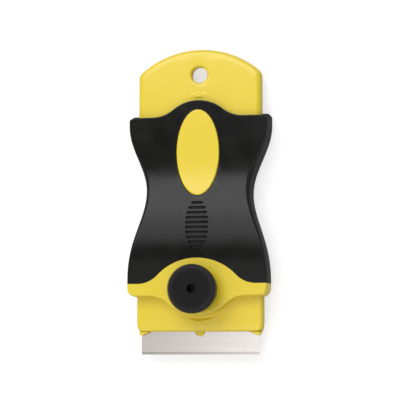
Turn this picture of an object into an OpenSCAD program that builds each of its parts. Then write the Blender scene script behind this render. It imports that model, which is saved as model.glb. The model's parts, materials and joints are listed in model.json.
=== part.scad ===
// Hand scraper that clamps a wide notched blade between two jaws with a thumb knob.
// It lies on its back: X is the width, +Y points to the tail and +Z to the knob.

/* [Overall] */
// Length from the cutting edge to the end of the tail
length = 99.7; // [92:0.1:110]
// Length of tail that shows past the shoulders of the sleeve
tail_show = 22.1; // [20:0.1:26]

/* [Blade] */
// Width of the cutting edge
blade_w = 39; // [34:0.5:44]
// Thickness of the blade
blade_t = 0.25; // [0.2:0.05:0.6]
// Depth of the blade from its edge to the back of its tang
blade_depth = 18; // [15:0.5:18.5]
// How far the blade stands out of the jaw
blade_out = 7.4; // [6:0.1:9]
// Width of the step from the cutting edge to the tang, each side
blade_step = 3.1; // [2:0.1:5]
// Length of the ground bevel
bevel_l = 0.9; // [0.4:0.1:2]
// Gap above and below the blade in the jaw
blade_gap = 0.05; // [0.02:0.01:0.1]
// Gap between the blade and what stops it
stop_gap = 0.1; // [0.05:0.05:0.3]

/* [Plate] */
// How much narrower the tail is than the jaw, each side
tail_in = 0.35; // [0:0.05:2]
// Thickness of the tail
tail_t = 4.55; // [4:0.05:6]
// Radius of the arc at the end of the tail
tail_arc_r = 30.2; // [26:0.1:40]
// Radius that rounds the corners of the tail
tail_corner_r = 3; // [1:0.5:6]
// Diameter of the hang hole
hang_d = 5.3; // [4:0.1:8]
// Distance from the end of the tail to the hang hole
hang_in = 8.4; // [6:0.1:10]
// Thickness of the lower jaw
jaw_low_t = 2.2; // [1.6:0.1:2.6]
// Width of the jaw past the blade, each side
jaw_lip = 1.25; // [0.8:0.05:2]
// Radius that draws in the corners of the jaw
jaw_corner_r = 8; // [6:0.5:12]
// Length of jaw that shows past the shoulders of the sleeve
jaw_show = 11.1; // [10:0.1:14]
// Radius of the nub that fits the notch of the blade
nub_r = 1.55; // [1:0.05:2]
// Reach of the corner lugs past the jaw
lug_out = 1.25; // [0.6:0.05:2]

/* [Sleeve] */
// Width of the sleeve at its waist
waist_w = 34.4; // [32:0.2:38]
// Distance from the shoulders at the blade end to the waist
waist_up = 33.7; // [30:0.1:36]
// Thickness of the moulded shell walls
shell_t = 1.15; // [1:0.05:1.6]
// Thickness of the soft grip over the shells
grip_t = 1; // [0.8:0.05:1.4]
// Extra width of the sleeve at the tail end, each side
top_lip = 0.4; // [0:0.05:1]
// Gap between the plate and the sleeve walls
side_gap = 0.25; // [0.15:0.05:0.4]
// Thickness of the back shell under the plate
back_t = 2; // [1.6:0.1:3]
// Height that the grip stands proud on the back
back_proud = 0.3; // [0.1:0.1:0.6]
// How far the back half stands past the front half at the tail end
back_reach = 1.1; // [0:0.1:2]
// Rise of the front from the tail end to the knob
front_rise = 2.2; // [1:0.1:4]
// Length of the slope that makes that rise
ramp_l = 27; // [20:0.5:30]
// Gap where the front and back halves meet
part_gap = 0.1; // [0.05:0.05:0.3]
// Height of the rounded tongue at the tail end
top_lobe_h = 5; // [3:0.1:6]
// Height of the rounded tongue at the blade end
low_lobe_h = 6.2; // [4:0.1:7]
// Height of the arch where the soft grip ends above the knob
grip_arch_h = 8.3; // [6:0.1:10]
// Width of bare shell beside the arch
bare_edge = 4.3; // [3:0.1:6]
// Radius of the sleeve corners at the tail end
top_corner_r = 1.2; // [0.6:0.1:3]
// Radius of the sleeve corners at the blade end
low_corner_r = 2.2; // [1:0.1:4]

/* [Thumb oval and ribs] */
// Length of the oval window
oval_l = 28.2; // [22:0.2:30]
// Width of the oval window
oval_w = 14.2; // [10:0.2:18]
// Distance from the sleeve shoulders to the middle of the oval
oval_in = 12.1; // [11:0.1:15]
// Number of thumb grooves
groove_n = 10; // [6:1:12]
// Distance between thumb grooves
groove_pitch = 1.6; // [1.2:0.05:1.8]
// Width of the widest groove
groove_w = 7.8; // [5:0.2:10]
// Depth of the grooves
groove_d = 0.45; // [0.2:0.05:0.6]

/* [Clamp] */
// Distance from the jaw edge back to the clamp bolt
knob_in = 13.4; // [13:0.1:15]
// Diameter of the knob
knob_d = 16; // [14:0.2:20]
// Thickness of the knob disc
knob_t = 5.2; // [4:0.1:8]
// Height of the hub under the knob disc
hub_h = 2; // [1:0.1:4]
// Number of teeth on the knob rim
knob_teeth = 72; // [48:1:90]
// Depth of the teeth on the knob rim
tooth_d = 0.25; // [0.1:0.05:0.5]
// Diameter of the clamp bolt
bolt_d = 3.9; // [3:0.1:4.4]
// Diameter of the bolt head
bolt_head_d = 8; // [7:0.2:10]
// Thickness of the bolt head
bolt_head_t = 1.3; // [1:0.1:1.4]
// Play of the bolt in the pieces that it passes through
bolt_play = 0.25; // [0.15:0.05:0.4]
// Running play of the bolt in the threaded insert
thread_play = 0.06; // [0.03:0.01:0.1]
// Thickness of the washer
washer_t = 0.8; // [0.5:0.1:1.5]

/* [Hidden] */
$fn = 64;

yellow = "#EBD344";
soft_black = "#262624";
hard_black = "#1E1E1E";
steel = "#C9CACB";
brass = "#C9A85A";

// Ends of the object
edge_y = -length / 2;
tail_y = length / 2;
jaw_y = edge_y + blade_out;
tang_y = edge_y + blade_depth;
knob_y = jaw_y + knob_in;
low_y = jaw_y + jaw_show;
top_y = tail_y - tail_show;
waist_y = low_y + waist_up;
grip_y = low_y + bare_edge;

// Heights, from the grip on the back up to the knob
back_z = back_proud;
floor_z = grip_t + back_t;
low_jaw_z = floor_z + jaw_low_t;
blade_z = low_jaw_z + blade_gap;
jaw_z = blade_z + blade_t + blade_gap;
jaw_clear = 0.05;
tail_z = floor_z + tail_t;
ceiling_z = tail_z + jaw_clear;
part_z = (floor_z + ceiling_z) / 2;
low_front_z = ceiling_z + shell_t + grip_t;
high_front_z = low_front_z + front_rise;
washer_z = high_front_z + washer_t;
knob_gap = 0.05;
hub_z = washer_z + knob_gap;
disc_z = hub_z + hub_h;
knob_z = disc_z + knob_t;

// Half widths
jaw_half = blade_w / 2 + jaw_lip;
tail_half = jaw_half - tail_in;
wall = side_gap + shell_t + grip_t;
mouth_half = jaw_half + wall;
top_half = tail_half + wall + top_lip;
waist_half = waist_w / 2;
tang_half = blade_w / 2 - blade_step;

// Length over which the corners of the jaw are drawn in
jaw_draw = 3;

// Flare of the sleeve from the waist to each end
top_level = 3.2;
low_level = 4.7;
low_swell = 0.3;
top_run = top_y - waist_y - top_level;
low_run = waist_up - low_level;

// Round tongues at the ends: tip radius and foot radius
top_lobe_r = 13;
top_foot_r = 11;
low_lobe_r = 14.5;
low_foot_r = 9;
arch_r = 18;
arch_foot_r = 9;

// Slope of the front
ramp_in = 14;
ramp_end_y = knob_y + ramp_in;
ramp_start_y = ramp_end_y + ramp_l;

// Middle of the oval and of the grooves
oval_y = top_y - oval_in;
groove_in = 21;
groove_y = knob_y + groove_in;
groove_share = 0.65;
groove_open = groove_share * groove_pitch;
groove_spare = 0.7;

// Stop ridges beside the tongues
ridge_h = 0.55;
top_ridge = [5.8, 2.2];
low_ridge = [9.9, 1.5];
ridge_off = 1.1;

// Pegs that line up the jaw
guide_r = 1.5;
guide_play = 0.1;
guide_x = 11;
guide_in = 11.5;
guide_y = knob_y + guide_in;
dowel_r = 1.25;
dowel_x = 12.5;
dowel_in = 2;
dowel_y = knob_y + dowel_in;
dowel_h = 2;
jaw_back_in = 4;
jaw_back_y = guide_y + jaw_back_in;
step_gap = 0.2;

// Screws that hold the back shell
screw_r = 1.1;
screw_head_r = 2.1;
screw_head_t = 1.1;
screw_bite = 3.2;
screw_from_mid = 9;
slot_w = 0.5;
slot_d = 0.5;

// Bolt, insert, hub and washer
bolt_r = bolt_d / 2;
bolt_short = 0.5;
insert_wall = 1.15;
insert_r = bolt_r + insert_wall;
insert_l = 3.6;
bolt_top_z = hub_z + insert_l - bolt_short;
hub_wall = 2;
hub_r = insert_r + hub_wall;
hole_r = 1.4;
hole_floor = 0.6;
washer_r = hub_r - step_gap;
knob_edge = 0.9;
neck_more = 0.1;
neck = bolt_d + neck_more;
neck_play = 0.1;

// Fineness of the outlines, and how far a cut runs past what it cuts
side_steps = 28;
edge_steps = 24;
arc_steps = 6;
over = 1;

// Share of the flare at a distance t from the waist, from 0 to 1
function flare(t, swell) = let (s = min(1, t), g = s + swell * s * (1 - s)) (1 - cos(180 * g)) / 2;

// Half width of the sleeve along its length
function sleeve_half(y) = y > waist_y
    ? waist_half + (top_half - waist_half) * flare((y - waist_y) / top_run, 0)
    : waist_half + (mouth_half - waist_half) * flare((waist_y - y) / low_run, low_swell);

// Half width of the plate along its length: as wide as the sleeve lets it be
function plate_half(y) = min(y > waist_y ? tail_half : jaw_half, sleeve_half(y) - wall);

// Half width of the jaw, drawn in at its corners
function jaw_side(y) = let (d = jaw_y + jaw_draw - y)
    d <= 0 ? jaw_half : jaw_half - jaw_corner_r + sqrt(jaw_corner_r * jaw_corner_r - d * d);

// Height of a tongue of tip radius r, with feet of radius f, at a distance x from its middle
function lobe(x, h, r, f) =
    let (a = abs(x), c = h - r, xf = sqrt((r + f) * (r + f) - (f - c) * (f - c)), xt = xf * r / (r + f))
    a < xt ? c + sqrt(r * r - a * a) : a < xf ? f - sqrt(f * f - (a - xf) * (a - xf)) : 0;

function top_edge(x) = top_y + lobe(x, top_lobe_h, top_lobe_r, top_foot_r);
function low_edge(x) = low_y - lobe(x, low_lobe_h, low_lobe_r, low_foot_r);
function grip_edge(x) = grip_y + lobe(x, grip_arch_h, arch_r, arch_foot_r);

function arc(x, y, r, from, to) = [for (i = [0 : arc_steps]) let (a = from + (to - from) * i / arc_steps)
    [x + r * cos(a), y + r * sin(a)]];
function mirrored(pts) = [for (i = [len(pts) - 1 : -1 : 0]) [-pts[i][0], pts[i][1]]];

// Points along the right side of the sleeve, drawn in by a wall
function sleeve_side(y0, y1, steps, inset) = [for (i = [1 : steps]) let (y = y0 + (y1 - y0) * i / steps)
    [sleeve_half(y) - inset, y]];

// Right half of the tail end of the sleeve: rounded shoulder, then the tongue
function top_right(inset, reach) =
    let (x1 = top_half - top_corner_r - inset, y1 = top_y + reach - top_corner_r - inset)
    concat(arc(x1, y1, top_corner_r, 0, 90),
           [for (i = [edge_steps - 1 : -1 : 0]) let (x = x1 * i / edge_steps) [x, top_edge(x) + reach - inset]]);

// Right half of the arch where the soft grip ends, from the middle out to the side
function arch_right() = let (x1 = sleeve_half(grip_y))
    [for (i = [0 : edge_steps]) let (x = x1 * i / edge_steps) [x, grip_edge(x)]];

module both_sides(right) {
    polygon(concat(right, mirrored(right)));
}

// Area of the sleeve that the soft grip covers, with its reach past the shoulders of the front
module grip_2d(reach) {
    y1 = top_y + reach - top_corner_r;
    both_sides(concat(arch_right(), sleeve_side(grip_y, y1, side_steps, 0), top_right(0, reach)));
}

// Area of the shell under the grip, which runs on under the bare end
module core_2d(reach) {
    y0 = low_y + bare_edge / 2;
    y1 = top_y + reach - top_corner_r - grip_t;
    both_sides(concat([[sleeve_half(y0) - grip_t, y0]], sleeve_side(y0, y1, side_steps, grip_t),
                      top_right(grip_t, reach)));
}

// Area at the blade end that the soft grip leaves bare
module bare_2d() {
    x0 = mouth_half - low_corner_r;
    y0 = low_y + low_corner_r;
    outer = [for (i = [0 : edge_steps - 1]) let (x = x0 * i / edge_steps) [x, low_edge(x)]];
    arch = arch_right();
    both_sides(concat(outer, arc(x0, y0, low_corner_r, -90, 0), sleeve_side(y0, grip_y, 2, 0),
                      [for (i = [edge_steps - 1 : -1 : 0]) arch[i]]));
}

module oval_2d() {
    translate([0, oval_y]) scale([oval_w / oval_l, 1]) circle(d = oval_l);
}

// Right half of the plate inside the sleeve, between two stations
function plate_right(y0, y1, gap) = [for (i = [0 : side_steps]) let (y = y0 + (y1 - y0) * i / side_steps)
    [plate_half(y) + gap, y]];

// Room for the plate in the sleeve, open at both ends
module channel_2d() {
    both_sides(concat([[jaw_half + side_gap, jaw_y]], plate_right(low_y, top_y, side_gap),
                      [[tail_half + side_gap, tail_y]]));
}

// Round end of the tail: the arc, with its corners rounded into the sides
function tail_right() =
    let (cy = tail_y - tail_arc_r, fx = tail_half - tail_corner_r, in = tail_arc_r - tail_corner_r,
         fy = cy + sqrt(in * in - fx * fx), turn = atan2(fy - cy, fx))
    concat(arc(fx, fy, tail_corner_r, 0, turn), arc(0, cy, tail_arc_r, turn + 2, 90));

// Whole plate, seen from the front
module plate_2d() {
    jaw_end = [for (i = [0 : arc_steps]) let (y = jaw_y - lug_out + (lug_out + jaw_draw) * i / arc_steps)
        [jaw_side(y), y]];
    both_sides(concat(jaw_end, plate_right(low_y, top_y, 0), tail_right()));
}

module slab(z0, z1) {
    translate([0, 0, z0]) linear_extrude(z1 - z0) children();
}

module along_x(w) {
    translate([-w / 2, 0, 0]) rotate([90, 0, 90]) linear_extrude(w) children();
}

module at_knob() {
    translate([0, knob_y, 0]) children();
}

module pair(x) {
    for (side = [-1, 1]) translate([side * x, 0, 0]) children();
}

module rod(r, z0, z1) {
    translate([0, 0, z0]) cylinder(r = r, h = z1 - z0);
}

// Lens-shaped ridge: length and width
module ridge_2d(size) {
    a = size[0] / 2;
    b = size[1] / 2;
    r = (a * a + b * b) / (2 * b);
    intersection() {
        translate([0, b - r]) circle(r = r, $fn = 128);
        translate([0, r - b]) circle(r = r, $fn = 128);
    }
}

// Upright blocks over a flat outline, cut off by the slope of the front
module front_form(z0, drop) {
    reach = length;
    intersection() {
        slab(z0, knob_z) children();
        along_x(reach) polygon([[-reach, z0 - over], [reach, z0 - over], [reach, low_front_z - drop],
            [ramp_start_y, low_front_z - drop], [ramp_end_y, high_front_z - drop],
            [-reach, high_front_z - drop]]);
    }
}

// Half width of the groove field at a share t of its half length
function groove_half(t) = groove_w / 2 * sqrt(1 - t * t);

module groove_2d() {
    last = (groove_n - 1) / 2;
    for (i = [-last : last]) {
        w = 2 * groove_half(i / (last + groove_spare));
        translate([-w / 2, groove_y + i * groove_pitch - groove_open / 2]) square([w, groove_open]);
    }
}

// Area that holds all the grooves
module groove_bed_2d() {
    bed = (groove_n + 1) * groove_pitch;
    translate([-groove_w, groove_y - bed / 2]) square([2 * groove_w, bed]);
}

// Plate with the tail, the lower jaw, its stops and the pegs that guide the upper jaw
module base_plate() {
    color(yellow) difference() {
        union() {
            slab(floor_z, low_jaw_z) plate_2d();
            intersection() {
                slab(low_jaw_z - over, tail_z) plate_2d();
                translate([-length, jaw_back_y + step_gap, 0]) cube([2 * length, length, knob_z]);
            }
            translate([0, jaw_y, 0]) rod(nub_r, low_jaw_z - over, blade_z + blade_t);
            pair(guide_x) translate([0, guide_y, 0]) rod(guide_r, low_jaw_z - over, tail_z - step_gap);
            slab(low_jaw_z - over, tail_z - stop_gap) lugs_2d();
            translate([0, top_edge(0) + ridge_off + top_ridge[1] / 2, 0])
                slab(tail_z - over, tail_z + ridge_h) ridge_2d(top_ridge);
        }
        translate([0, tail_y - hang_in, 0]) rod(hang_d / 2, 0, knob_z);
        at_knob() rod(bolt_r + bolt_play, 0, knob_z);
        for (y = screw_ys()) translate([0, y, 0]) rod(screw_r, floor_z - over, floor_z + screw_bite);
    }
}

// Corner lugs that back up the shoulders of the blade
module lugs_2d() {
    inner = tang_half + 2 * stop_gap;
    tip = jaw_y - lug_out;
    for (side = [-1, 1]) polygon([[side * inner, jaw_y - stop_gap],
        [side * jaw_side(jaw_y - stop_gap), jaw_y - stop_gap], [side * jaw_side(tip), tip],
        [side * (blade_w / 2 - stop_gap), tip]]);
}

// Upper jaw with its stop ridge, guide holes and dowels
module jaw_plate() {
    color(yellow) difference() {
        union() {
            intersection() {
                slab(jaw_z, ceiling_z) plate_2d();
                translate([-length, jaw_y, 0]) cube([2 * length, jaw_back_y - jaw_y, knob_z]);
            }
            pair(dowel_x) translate([0, dowel_y, 0]) rod(dowel_r, jaw_z, ceiling_z + dowel_h);
            translate([0, low_edge(0) - ridge_off, 0])
                slab(ceiling_z - over, ceiling_z + ridge_h) ridge_2d(low_ridge);
        }
        at_knob() rod(bolt_r + bolt_play, 0, knob_z);
        pair(guide_x) translate([0, guide_y, 0]) rod(guide_r + guide_play, 0, knob_z);
    }
}

// Wide blade with a narrower tang, a notch that opens to the back and one ground bevel
module blade() {
    half = blade_w / 2;
    shoulder = jaw_y - lug_out - 2 * stop_gap;
    notch = nub_r + stop_gap;
    color(steel) intersection() {
        slab(blade_z, blade_z + blade_t) difference() {
            polygon([[-half, edge_y], [half, edge_y], [half, shoulder], [tang_half, jaw_y - 2 * stop_gap],
                [tang_half, tang_y], [-tang_half, tang_y], [-tang_half, jaw_y - 2 * stop_gap], [-half, shoulder]]);
            translate([0, jaw_y]) circle(r = notch);
            translate([-notch, jaw_y]) square([2 * notch, blade_depth]);
        }
        along_x(2 * blade_w) polygon([[edge_y, blade_z], [tang_y + over, blade_z],
            [tang_y + over, blade_z + blade_t], [edge_y + bevel_l, blade_z + blade_t],
            [edge_y, blade_z + blade_t / 10]]);
    }
}

// Front half of the sleeve: a shell under the grip, the oval island and the bare boss for the knob
module front_shell() {
    z0 = part_z + part_gap / 2;
    color(yellow) difference() {
        union() {
            front_form(z0, grip_t) core_2d(0);
            front_form(z0, 0) bare_2d();
            front_form(ceiling_z + shell_t / 2, 0) oval_2d();
        }
        slab(0, ceiling_z) channel_2d();
        at_knob() rod(bolt_r + bolt_play, 0, knob_z);
        pair(dowel_x) translate([0, dowel_y, 0]) rod(dowel_r, 0, ceiling_z + dowel_h + step_gap);
    }
}

// Soft grip over the front, with the oval window and the thumb grooves
module front_grip() {
    z0 = part_z + part_gap / 2;
    color(soft_black) difference() {
        front_form(z0, 0) grip_2d(0);
        front_form(z0 - over, grip_t) core_2d(0);
        slab(0, knob_z) oval_2d();
        slab(0, ceiling_z) channel_2d();
        difference() {
            slab(ceiling_z, knob_z) groove_2d();
            front_form(z0, groove_d) groove_bed_2d();
        }
    }
}

function screw_ys() = [oval_y + screw_from_mid, oval_y - screw_from_mid];

// Back half of the sleeve, with the bolt recess and two screw recesses in its oval
module back_shell() {
    z1 = part_z - part_gap / 2;
    color(yellow) difference() {
        union() {
            slab(grip_t, z1) core_2d(back_reach);
            slab(back_z, z1) bare_2d();
            slab(back_z, floor_z - back_t / 2) oval_2d();
        }
        slab(floor_z, knob_z) channel_2d();
        at_knob() {
            rod(bolt_head_d / 2 + bolt_play, -over, back_z + bolt_head_t + bolt_play / 2);
            translate([-neck / 2 - neck_play, -neck / 2 - neck_play, 0])
                cube([neck + 2 * neck_play, neck + 2 * neck_play, knob_z]);
        }
        for (y = screw_ys()) translate([0, y, 0]) {
            rod(screw_r + bolt_play / 2, -over, knob_z);
            rod(screw_head_r + bolt_play / 2, -over, back_z + screw_head_t);
        }
    }
}

// Soft grip over the back, which the scraper rests on
module back_grip() {
    z1 = part_z - part_gap / 2;
    color(soft_black) difference() {
        slab(0, z1) grip_2d(back_reach);
        slab(grip_t, z1 + over) core_2d(back_reach);
        slab(-over, knob_z) oval_2d();
        slab(floor_z, knob_z) channel_2d();
    }
}

// Two slotted self-tapping screws
module back_screws() {
    head_z = back_z + step_gap;
    seat_z = back_z + screw_head_t;
    color(steel) for (y = screw_ys()) translate([0, y, 0]) difference() {
        union() {
            rod(screw_head_r, head_z, seat_z);
            rod(screw_r, head_z, floor_z + screw_bite - step_gap);
        }
        translate([-screw_head_r, -slot_w / 2, head_z - over]) cube([2 * screw_head_r, slot_w, over + slot_d]);
    }
}

// Carriage bolt: round head, square neck and shank
module clamp_bolt() {
    head_z = back_z + bolt_head_t + bolt_play / 2;
    dome = bolt_head_t / 2;
    head_r = bolt_head_d / 2;
    color(steel) at_knob() {
        rotate_extrude() polygon([[0, head_z - bolt_head_t], [head_r - 2 * dome, head_z - bolt_head_t],
            [head_r, head_z - dome], [head_r, head_z], [0, head_z]]);
        translate([-neck / 2, -neck / 2, head_z]) cube([neck, neck, floor_z - head_z]);
        rod(bolt_r, head_z, bolt_top_z);
    }
}

// Toothed knob on a narrower hub, bored for the insert, with a blind hole in its top
module knob() {
    r = knob_d / 2;
    core_r = r - 2 * tooth_d;
    flat_r = core_r - knob_edge;
    points = 2 * knob_teeth;
    rim = knob_edge / 2;
    color(hard_black) at_knob() difference() {
        union() {
            rotate_extrude() polygon([[0, hub_z], [hub_r, hub_z], [hub_r, disc_z], [flat_r, disc_z],
                [core_r, disc_z + knob_edge], [core_r, knob_z - knob_edge], [flat_r, knob_z], [0, knob_z]]);
            slab(disc_z + rim, knob_z - rim) polygon([for (i = [0 : points - 1])
                let (a = 360 * i / points, d = r - tooth_d * (i % 2)) [d * cos(a), d * sin(a)]]);
        }
        rod(insert_r, hub_z - over, hub_z + insert_l);
        rod(hole_r, hub_z + insert_l + hole_floor, knob_z + over);
    }
}

// Threaded insert in the hub of the knob
module knob_insert() {
    color(brass) at_knob() difference() {
        rod(insert_r, hub_z, hub_z + insert_l);
        rod(bolt_r + thread_play, hub_z - over, knob_z);
    }
}

module knob_washer() {
    color(steel) at_knob() difference() {
        rod(washer_r, high_front_z, washer_z);
        rod(bolt_r + bolt_play, 0, knob_z);
    }
}

base_plate();
jaw_plate();
blade();
front_shell();
front_grip();
back_shell();
back_grip();
back_screws();
clamp_bolt();
knob();
knob_insert();
knob_washer();
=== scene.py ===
import bpy
import bmesh
import json
import math
import numpy as np
from mathutils import Matrix, Vector
from mathutils.geometry import delaunay_2d_cdt
from mathutils.kdtree import KDTree


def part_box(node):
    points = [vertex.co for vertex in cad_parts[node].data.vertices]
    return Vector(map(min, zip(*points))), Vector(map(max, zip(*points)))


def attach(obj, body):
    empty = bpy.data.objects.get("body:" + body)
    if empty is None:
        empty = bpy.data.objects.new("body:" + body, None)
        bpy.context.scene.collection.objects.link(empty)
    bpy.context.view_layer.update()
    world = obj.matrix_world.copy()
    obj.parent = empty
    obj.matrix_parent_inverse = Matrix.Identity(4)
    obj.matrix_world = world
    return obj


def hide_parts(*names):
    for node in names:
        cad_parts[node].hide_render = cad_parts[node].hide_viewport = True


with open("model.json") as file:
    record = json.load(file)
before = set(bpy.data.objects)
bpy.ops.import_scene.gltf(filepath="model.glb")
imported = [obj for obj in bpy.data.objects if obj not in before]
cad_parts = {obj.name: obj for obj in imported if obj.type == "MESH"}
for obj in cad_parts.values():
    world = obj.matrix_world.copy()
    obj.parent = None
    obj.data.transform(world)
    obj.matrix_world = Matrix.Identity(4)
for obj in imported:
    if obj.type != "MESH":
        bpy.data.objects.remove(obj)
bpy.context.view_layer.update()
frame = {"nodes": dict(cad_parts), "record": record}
print("frame loaded")

mm = 0.001  # shapes below are in millimetres, meshes in metres
tiny = 1e-6  # points closer than this are one point
below, above = -5.0, 20.0  # cutters run between these heights, clear of what they cut
coarse = 6.0  # point spacing on a cutter's flat ends
sink = 1.0  # how far a shape reaches into what it is joined to, or past what it cuts


def endOf(node, way):  # where a node of the frame ends on one side, such as +y
    low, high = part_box(node)
    corner = high if way[0] == "+" else low
    return round(corner["xyz".index(way[1])] / mm, 3)


plan = {  # stations of the scraper: y from the blade to the tail, z up from the back
    "jawY": endOf("jaw_plate", "-y"), "jawBackY": endOf("jaw_plate", "+y"),
    "knobY": (endOf("knob", "-y") + endOf("knob", "+y")) / 2,
    "lowY": -31.35, "gripY": endOf("front_grip", "-y"), "waistY": 2.35, "ovalY": 15.65,
    "topY": 27.4, "tailY": endOf("base_plate", "+y"),
    "backZ": endOf("back_shell", "-z"), "floorZ": endOf("base_plate", "-z"), "lowJawZ": 5.2,
    "backTopZ": endOf("back_shell", "+z"), "frontFootZ": endOf("front_shell", "-z"),
    "jawZ": endOf("jaw_plate", "-z"), "tailZ": 7.55, "ceilingZ": 7.6,
    "lowFrontZ": 9.75, "highFrontZ": endOf("front_grip", "+z"),
    "jawHalf": endOf("jaw_plate", "+x"), "tailHalf": 20.4, "waistHalf": 17.2,
    "mouthHalf": endOf("front_shell", "+x"), "topHalf": endOf("front_grip", "+x"),
    "wall": 2.4, "gripT": 1.0, "sideGap": 0.25,
}


# shared shape rules

waist = {"topRun": 22.2, "lowRun": 29.0, "lowSwell": 0.3}  # how the sleeve flares to its two ends
jawCorner = {"r": 8.0, "reach": 3.0}
lobes = {  # round tongues: height, tip radius, foot radius
    "top": (5.35, 13.0, 11.0), "low": (6.2, 14.5, 9.0), "arch": (8.3, 18.0, 9.0),
}


def flare(t, swell=0.0):
    s = min(1.0, t)
    return (1 - math.cos(math.pi * (s + swell * s * (1 - s)))) / 2


def sleeveHalf(y):  # half width of the waisted sleeve
    w, away = plan["waistHalf"], y - plan["waistY"]
    if away > 0:
        return w + (plan["topHalf"] - w) * flare(away / waist["topRun"])
    return w + (plan["mouthHalf"] - w) * flare(-away / waist["lowRun"], waist["lowSwell"])


def plateHalf(y):  # the plate fills the sleeve, but for its walls
    widest = plan["tailHalf"] if y > plan["waistY"] else plan["jawHalf"]
    return min(widest, sleeveHalf(y) - plan["wall"])


def jawSide(y):  # the jaw's corners draw in towards the blade
    r, d = jawCorner["r"], plan["jawY"] + jawCorner["reach"] - y
    return plan["jawHalf"] if d <= 0 else plan["jawHalf"] - r + math.sqrt(r * r - d * d)


def lobe(x, height, tip, foot):  # how far a tongue stands out at x
    a, c = abs(x), height - tip
    end = math.sqrt((tip + foot) ** 2 - (foot - c) ** 2)
    if a < end * tip / (tip + foot):
        return c + math.sqrt(tip * tip - a * a)
    return foot - math.sqrt(foot * foot - (a - end) ** 2) if a < end else 0.0


def topEdge(x):
    return plan["topY"] + lobe(x, *lobes["top"])


def lowEdge(x):
    return plan["lowY"] - lobe(x, *lobes["low"])


def archEdge(x):  # where the soft grip ends above the knob
    return plan["gripY"] + lobe(x, *lobes["arch"])


slope = {  # how steeply the front rises towards the knob, at stations down from the frame's middle
    "down": (-13.6, -5.5, 2.0, 5.5, 11.0, 13.5, 16.5, 20.0),
    "steep": (0.0, 0.83, 0.98, 0.84, 0.82, 0.74, 0.42, 0.0),
    "steps": 280,
}
slopeAt = np.linspace(slope["down"][0], slope["down"][-1], slope["steps"] + 1)
slopeMid = (slopeAt[1:] + slopeAt[:-1]) / 2
slopeRise = np.concatenate([[0], np.cumsum(np.interp(slopeMid, slope["down"], slope["steep"]))])
slopeRise *= (plan["highFrontZ"] - plan["lowFrontZ"]) / slopeRise[-1]


def frontZ(x, y):
    return plan["lowFrontZ"] + np.interp(-np.asarray(y, float), slopeAt, slopeRise)


def underFront(depth):  # a surface that runs below the front
    return lambda x, y: frontZ(x, y) - depth


# mesh tools

def span(a, b, n):
    return [a + (b - a) * i / n for i in range(n + 1)]


def quarter(n):  # angles over a quarter turn
    return span(0, math.pi / 2, n)


def arc(x, y, r, a0, a1, n=8):
    turns = [math.radians(a) for a in span(a0, a1, n)]
    return [(x + r * math.cos(a), y + r * math.sin(a)) for a in turns]


def bothSides(right):  # right half, from the bottom middle up to the top middle
    return right + [(-x, y) for x, y in reversed(right) if x > tiny]


# even spacing along a closed loop, with turns sharper than corner eased over soft
def evenly(points, step, soft=0.0, corner=30, least=12):
    pts = np.array(list(points) + [points[0]], float)
    pts = pts[np.concatenate([[True], np.linalg.norm(np.diff(pts, axis=0), axis=1) > tiny])]
    ahead = np.diff(pts, axis=0)
    run = np.concatenate([[0], np.cumsum(np.linalg.norm(ahead, axis=1))])

    def place(s):
        return np.array([np.interp(s, run, pts[:, 0]), np.interp(s, run, pts[:, 1])]).T

    at = np.linspace(0, run[-1], max(least, round(run[-1] / step)), endpoint=False)
    out = place(at)
    turn = np.degrees(np.arctan2(ahead[:, 1], ahead[:, 0]))
    for i in range(1, len(turn)) if soft else ():
        if abs((turn[i] - turn[i - 1] + 180) % 360 - 180) > corner:
            near = np.abs(at - run[i]) < soft
            u = ((at[near] - run[i] + soft) / (2 * soft))[:, None]
            a, c, b = place(run[i] - soft), pts[i], place(run[i] + soft)
            out[near] = (1 - u) ** 2 * a + 2 * u * (1 - u) * c + u * u * b
    return out


def inside(points, loop):
    hit = np.zeros(len(points), bool)
    for (x0, y0), (x1, y1) in zip(loop, np.roll(loop, -1, 0)):
        if y0 != y1:
            across = x0 + (points[:, 1] - y0) * (x1 - x0) / (y1 - y0)
            hit ^= ((points[:, 1] < y0) != (points[:, 1] < y1)) & (points[:, 0] < across)
    return hit


def capFaces(ring, grid, keepOff=0.55):  # triangles over a loop, with grid points so that the cap can bend
    lo, hi = ring.min(0), ring.max(0)
    xs, ys = np.arange(lo[0] + grid / 2, hi[0], grid), np.arange(lo[1] + grid / 2, hi[1], grid)
    extra = np.array([(x, y) for y in ys for x in xs]).reshape(-1, 2)
    extra = extra[inside(extra, ring)] if len(extra) else extra
    tree = KDTree(len(ring))
    for i, p in enumerate(ring):
        tree.insert((p[0], p[1], 0), i)
    tree.balance()
    clear = [p for p in extra if tree.find((p[0], p[1], 0))[2] > grid * keepOff]
    extra = np.array(clear).reshape(-1, 2)
    every = np.concatenate([ring, extra])
    n = len(ring)
    loop = [(i, (i + 1) % n) for i in range(n)]
    out = delaunay_2d_cdt([Vector(p) for p in every], loop, [], 0, tiny)
    back = [ids[0] for ids in out[3]]
    faces = [[back[i] for i in f] for f in out[2]]
    middle = np.array([every[f].mean(0) for f in faces])
    return extra, [f for f, ok in zip(faces, inside(middle, ring)) if ok]


def along(value, x, y):  # a size that may change over the outline
    return value(x, y) if callable(value) else value


def newObject(name, points, faces=()):
    mesh = bpy.data.meshes.new(name)
    mesh.from_pydata((np.array(points, float) * mm).tolist(), [], faces)
    mesh.validate()
    made = bpy.data.objects.new(name, mesh)
    bpy.context.scene.collection.objects.link(made)
    return made


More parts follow.
